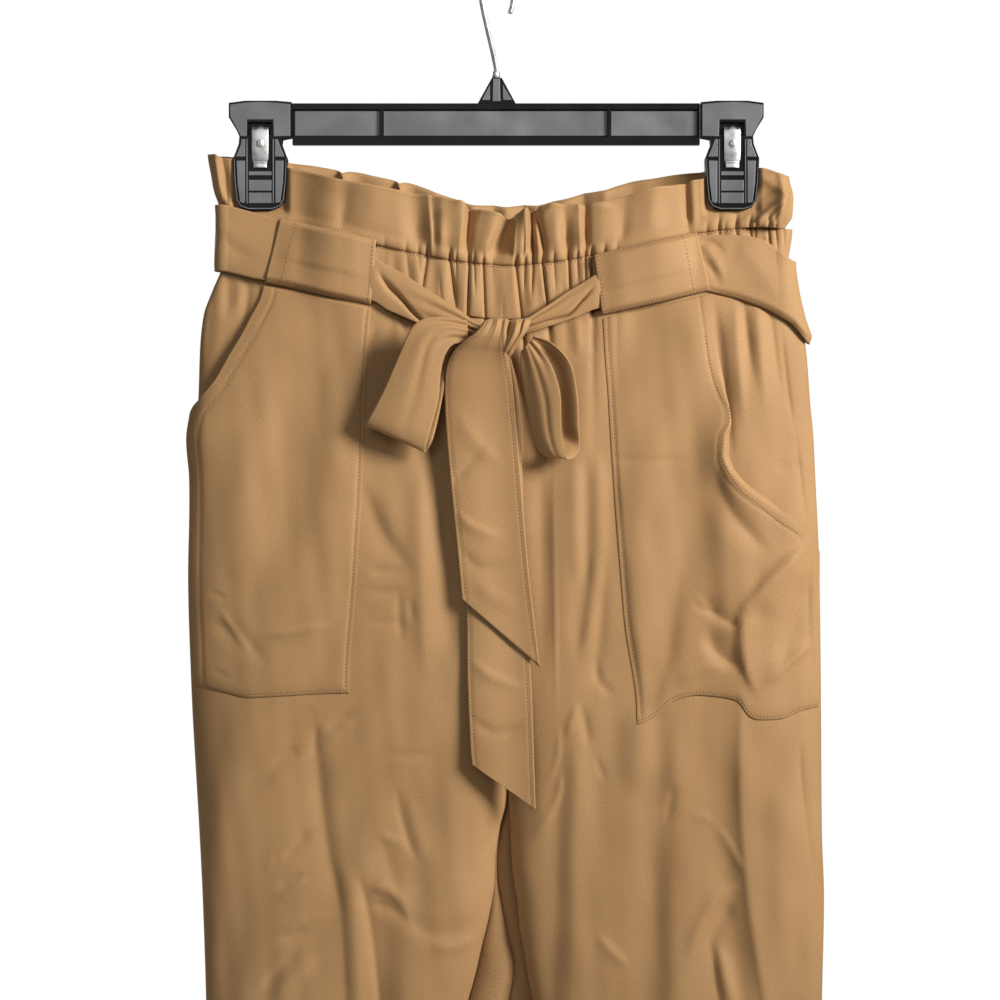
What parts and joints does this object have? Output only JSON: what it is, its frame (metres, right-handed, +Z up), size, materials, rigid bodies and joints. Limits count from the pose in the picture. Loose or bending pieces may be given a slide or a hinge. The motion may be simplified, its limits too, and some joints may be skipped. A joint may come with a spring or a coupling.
{
  "type": "paperbag waist trousers on a clip hanger",
  "caption": "Wide straight trousers with a gathered paperbag waist, patch pockets and a tied fabric belt, hung from a clip hanger.",
  "frame": {"origin": "inside top of the hanger's hook, where a rail carries it", "axes": "+Z up, the front of the trousers faces -Y, +X towards the wearer's left"},
  "size_m": [0.4238, 0.0759, 1.2152],
  "materials": {
    "crepe": "soft camel woven crepe with a slight sheen",
    "hanger_plastic": "dark grey moulded plastic, satin gloss",
    "hanger_steel": "bright plated spring steel and wire"
  },
  "bodies": {
    "root": {"front_right_hip": "crepe", "front_right_thigh": "crepe", "front_right_shin": "crepe", "front_left_hip": "crepe", "front_left_thigh": "crepe", "front_left_shin": "crepe", "back_right_hip": "crepe", "back_right_thigh": "crepe", "back_right_shin": "crepe", "back_left_hip": "crepe", "back_left_thigh": "crepe", "back_left_shin": "crepe", "casing_front": "crepe", "casing_back": "crepe", "ruffle_front": "crepe", "ruffle_back": "crepe", "pocket_right": "crepe", "pocket_left": "crepe", "carrier_right": "crepe", "carrier_left": "crepe", "belt": "crepe", "belt_strand_right": "crepe", "belt_strand_left": "crepe", "bow_loop_right": "crepe", "bow_loop_left": "crepe", "bow_knot": "crepe", "bow_tail_front": "crepe", "bow_tail_back": "crepe", "hanger_bar": "hanger_plastic", "hanger_hub": "hanger_plastic", "clip_front_right": "hanger_plastic", "clip_back_right": "hanger_plastic", "clip_front_left": "hanger_plastic", "clip_back_left": "hanger_plastic", "clip_spring_right": "hanger_steel", "clip_spring_left": "hanger_steel", "hanger_hook": "hanger_steel"}
  },
  "joints": []
}
